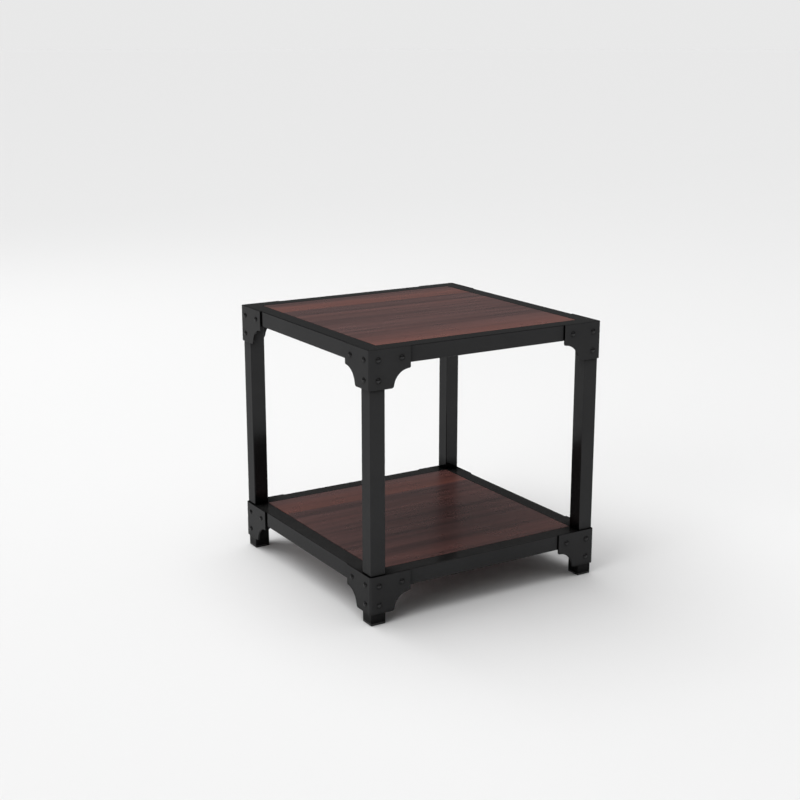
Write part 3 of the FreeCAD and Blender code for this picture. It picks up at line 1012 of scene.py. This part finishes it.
def add_recess(shape, settings, dome):
    """Adds a cross recess whose rim lies on the dome, and a ring round it that the dome goes on from."""
    reach, half_arm = settings.recess_reach / 2, settings.recess_width / 2
    floor_reach, floor_half_arm = reach * RECESS_TAPER, half_arm * RECESS_TAPER
    # Of a grid of three by three squares, the outer lines end the arms and the inner lines are their sides
    bmesh.ops.create_grid(shape, x_segments=3, y_segments=3, size=1.0)
    for vert in shape.verts:
        for axis in (0, 1):
            is_outer = abs(vert.co[axis]) > 0.5
            vert.co[axis] = math.copysign(floor_reach if is_outer else floor_half_arm, vert.co[axis])
        vert.co.z = settings.recess_depth - settings.head_height
    middles = {face: face.calc_center_median() for face in shape.faces}
    corners = [face for face, middle in middles.items() if min(map(abs, middle.xy)) > floor_half_arm]
    bmesh.ops.delete(shape, geom=corners, context="FACES")
    bmesh.ops.subdivide_edges(shape, edges=open_edges(shape.edges), cuts=1)
    made = bmesh.ops.extrude_edge_only(shape, edges=open_edges(shape.edges))["geom"]
    for vert in of_kind(made, bmesh.types.BMVert):
        vert.co.xy /= RECESS_TAPER
        vert.co.z = dome(vert.co.xy.length)
    rim = open_edges(made)
    ring_radius = reach * RECESS_RING_SHARE
    ring = bmesh.ops.create_circle(shape, segments=len(rim), radius=ring_radius)["verts"]
    bmesh.ops.translate(shape, verts=ring, vec=(0, 0, dome(ring_radius)))
    ring_edges = list({edge for vert in ring for edge in vert.link_edges})
    bmesh.ops.bridge_loops(shape, edges=rim + ring_edges)
    return ring_edges


def add_thread(shape, settings, core, start, end):
    """Winds a sharp thread round the core, with both its ends closed."""
    upright = Matrix.Rotation(math.pi / 2, 4, "X") @ Matrix.Rotation(-math.pi / 2, 4, "Z")
    place = Matrix.Translation((core, 0, start)) @ upright
    profile = bmesh.ops.create_circle(shape, segments=3, radius=settings.thread_depth, matrix=place)["verts"]
    edges = list({edge for vert in profile for edge in vert.link_edges})
    turns = (end - start) / settings.thread_pitch
    steps = round(turns * THREAD_STEPS)
    bmesh.ops.spin(
        shape,
        geom=[*profile, *edges],
        cent=(0, 0, 0),
        axis=(0, 0, 1),
        dvec=(0, 0, (end - start) / steps),
        angle=2 * math.pi * turns,
        steps=steps,
    )
    bmesh.ops.holes_fill(shape, edges=open_edges(shape.edges))


def make_screw(settings, length):
    """One screw with its head below the origin: a dome with a cross recess, a pointed core and a thread."""
    half_head = settings.head_width / 2
    dome_radius = (half_head**2 + settings.head_height**2) / (2 * settings.head_height)

    def dome(radius):
        return dome_radius - settings.head_height - math.sqrt(dome_radius**2 - radius**2)

    shape = bmesh.new()
    ring = add_recess(shape, settings, dome)
    for share in DOME_SHARES:
        ring = extend_ring(shape, ring, half_head * share, dome(half_head * share))
    core = settings.thread_width / 2 - settings.thread_depth
    point = length * POINT_SHARE
    for radius, height in ((core, 0.0), (core, point), (core * TIP_SHARE, length)):
        ring = extend_ring(shape, ring, radius, height)
    bmesh.ops.holes_fill(shape, edges=ring)
    add_thread(shape, settings, core, length * THREAD_START_SHARE, point)
    bmesh.ops.recalc_face_normals(shape, faces=shape.faces)
    return finish_mesh(shape, "screw")


def screw_spots(node):
    """The middle of each screw in a node, seen from above."""
    clusters = []
    for vert in node.data.vertices:
        place = vert.co.xy
        near = [cluster for cluster in clusters if (cluster[0] - place).length < SCREW_REACH]
        if near:
            near[0].append(place.copy())
        else:
            clusters.append([place.copy()])
    middles = []
    for cluster in clusters:
        low = Vector(map(min, zip(*cluster)))
        high = Vector(map(max, zip(*cluster)))
        middles.append((low + high) / 2)
    return middles


def set_screws(node_name, settings, material):
    """Puts a screw at each of the node's screws, each turned its own way."""
    low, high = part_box(node_name)
    seat = low.z + settings.head_height
    screw = make_screw(settings, high.z - seat)
    shape = bmesh.new()
    for number, spot in enumerate(screw_spots(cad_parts[node_name])):
        count = len(shape.verts)
        shape.from_mesh(screw)
        shape.verts.ensure_lookup_table()
        turned = Matrix.Rotation(SCREW_TURN * number, 4, "Z")
        place = Matrix.Translation((spot.x, spot.y, seat)) @ turned
        bmesh.ops.transform(shape, matrix=place, verts=shape.verts[count:])
    bpy.data.meshes.remove(screw)
    mesh = finish_mesh(shape, f"{node_name}_threaded")
    mesh.shade_smooth()
    mesh.set_sharp_from_angle(angle=SHARP_ANGLE)
    mesh.materials.append(material)
    piece = add_object(mesh.name, mesh)
    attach(piece, "root")
    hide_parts(node_name)


class ENDTABLE_OT_drive_screws(bpy.types.Operator):
    """Model the screws under both boards, with cross recesses and threads"""

    bl_idname = "end_table.drive_screws"
    bl_label = "Board screws"

    def execute(self, context):
        settings = context.scene.end_table.screws
        steel = make_screw_steel(settings)
        for node_name in ("top_panel_screws", "shelf_panel_screws"):
            set_screws(node_name, settings, steel)
        return {"FINISHED"}


def make_floor_finish(settings):
    """Matt paint with a painted fall-off of light, darker far away, and that is clear from below."""
    material, tree = empty_material("floor")
    place = add_node(tree, "ShaderNodeTexCoord").outputs["Object"]
    away = calculate(tree, "DIVIDE", vector_math(tree, "LENGTH", place)["Value"], FLOOR_FADE_LENGTH)
    near = calculate(tree, "DIVIDE", 1.0, calculate(tree, "ADD", 1.0, away))
    # Painted fall-off of light: the floor's colour is brighter near the table
    painted_light_falloff = remap(tree, calculate(tree, "POWER", near, 2.0), UNIT, FLOOR_SHADES)
    pale = mix_colours(tree, 1.0, opaque(settings.floor_colour), painted_light_falloff, "MULTIPLY")
    matt = add_node(tree, "ShaderNodeBsdfDiffuse", {"Color": pale}).outputs[0]
    clear = add_node(tree, "ShaderNodeBsdfTransparent").outputs[0]
    from_below = add_node(tree, "ShaderNodeNewGeometry").outputs["Backfacing"]
    surface = add_node(tree, "ShaderNodeMixShader", {0: from_below, 1: matt, 2: clear}).outputs[0]
    add_node(tree, "ShaderNodeOutputMaterial", {"Surface": surface})
    return material


def make_floor(settings):
    """Wide pale floor just under the feet."""
    shape = bmesh.new()
    bmesh.ops.create_circle(shape, cap_ends=True, segments=FLOOR_SIDES, radius=settings.floor_radius)
    bmesh.ops.translate(shape, verts=shape.verts, vec=(0, 0, cad_box[0].z - FLOOR_GAP))
    mesh = finish_mesh(shape, "floor")
    mesh.materials.append(make_floor_finish(settings))
    floor = add_object("floor", mesh)


def make_room(settings):
    """Dim room that the gloss mirrors, with a pale backdrop for the camera."""
    world = bpy.data.worlds.new("studio")
    bpy.context.scene.world = world
    world.use_nodes = True
    tree = world.node_tree
    tree.nodes.clear()
    direction = add_node(tree, "ShaderNodeTexCoord").outputs["Generated"]
    height = add_node(tree, "ShaderNodeSeparateXYZ", {0: direction}).outputs["Z"]
    strength = remap(tree, height, ROOM_RISE, (settings.horizon_strength, settings.ceiling_strength))
    room = add_node(tree, "ShaderNodeBackground", {"Color": WHITE, "Strength": strength}).outputs[0]
    seen = add_node(tree, "ShaderNodeBackground", {"Color": WHITE, "Strength": settings.backdrop}).outputs[0]
    to_camera = add_node(tree, "ShaderNodeLightPath").outputs["Is Camera Ray"]
    mixed = add_node(tree, "ShaderNodeMixShader", {0: to_camera, 1: room, 2: seen}).outputs[0]
    add_node(tree, "ShaderNodeOutputWorld", {"Surface": mixed})


def add_light(name, kind, energy):
    """A light that neither the camera nor the gloss sees."""
    light = add_object(name, bpy.data.lights.new(name, kind))
    light.data.energy = energy
    light.visible_camera = False
    light.visible_glossy = False
    return light


def aim_at_table(light, place):
    """Puts a light in its place and turns it towards the table's middle."""
    light.location = place
    aim = (cad_box[0] + cad_box[1]) / 2 - light.location
    light.rotation_euler = aim.to_track_quat("-Z", "Y").to_euler()


def make_lights(settings):
    """A wide canopy overhead, a soft lamp that brings the shadows forward and a low light at the left."""
    canopy = add_light("canopy", "SUN", settings.canopy_strength)
    canopy.data.angle = settings.canopy_spread
    canopy.rotation_euler = (-settings.canopy_lean_back, -settings.canopy_lean_left, 0)
    lamp = add_light("lamp", "AREA", settings.lamp_power)
    lamp.data.size = settings.lamp_size
    aim_at_table(lamp, settings.lamp_place)
    fill = add_light("fill", "SUN", settings.fill_strength)
    fill.data.angle = settings.fill_spread
    aim_at_table(fill, settings.fill_place)


def make_camera(settings):
    """Camera that looks down at the table from the front left."""
    camera = add_object("camera", bpy.data.cameras.new("camera"))
    camera.data.lens = settings.camera_lens
    camera.location = settings.camera_place
    level = math.pi / 2
    camera.rotation_euler = (level - settings.camera_pitch, 0, -settings.camera_heading)
    bpy.context.scene.camera = camera


class ENDTABLE_OT_set_stage(bpy.types.Operator):
    """Lay the floor, light it and set the camera"""

    bl_idname = "end_table.set_stage"
    bl_label = "Stage"

    def execute(self, context):
        settings = context.scene.end_table.stage
        make_floor(settings)
        make_room(settings)
        make_lights(settings)
        make_camera(settings)
        context.scene.view_settings.view_transform = "Standard"
        return {"FINISHED"}


OPERATORS = (
    ENDTABLE_OT_coat_frame,
    ENDTABLE_OT_coat_brackets,
    ENDTABLE_OT_coat_rivets,
    ENDTABLE_OT_coat_clips,
    ENDTABLE_OT_lacquer_boards,
    ENDTABLE_OT_mould_feet,
    ENDTABLE_OT_drive_screws,
    ENDTABLE_OT_set_stage,
)


class ENDTABLE_PT_sidebar(bpy.types.Panel):
    """Settings and steps of the end table"""

    bl_idname = "ENDTABLE_PT_sidebar"
    bl_label = "End Table"
    bl_space_type = "VIEW_3D"
    bl_region_type = "UI"
    bl_category = "End Table"

    def draw(self, context):
        settings = context.scene.end_table
        for part in ("coating", "wood", "foot", "screws", "stage"):
            box = self.layout.box()
            box.label(text=part.capitalize())
            group = getattr(settings, part)
            for name in group.__annotations__:
                box.prop(group, name)
        for operator in OPERATORS:
            self.layout.operator(operator.bl_idname)


SETTINGS = (
    CoatingSettings,
    WoodSettings,
    FootSettings,
    ScrewSettings,
    StageSettings,
    EndTableSettings,
)
CLASSES = (*SETTINGS, *OPERATORS, ENDTABLE_PT_sidebar)


def register():
    """Registers the settings, the operators and the panel."""
    for kind in CLASSES:
        bpy.utils.register_class(kind)
    bpy.types.Scene.end_table = PointerProperty(type=EndTableSettings)


def unregister():
    """Takes the settings, the operators and the panel away again."""
    del bpy.types.Scene.end_table
    for kind in reversed(CLASSES):
        bpy.utils.unregister_class(kind)


def main():
    """Dresses the whole table and its stage."""
    register()
    bpy.ops.end_table.coat_frame()
    bpy.ops.end_table.coat_brackets()
    bpy.ops.end_table.coat_rivets()
    bpy.ops.end_table.coat_clips()
    bpy.ops.end_table.lacquer_boards()
    bpy.ops.end_table.mould_feet()
    bpy.ops.end_table.drive_screws()
    bpy.ops.end_table.set_stage()


if __name__ == "__main__":
    main()
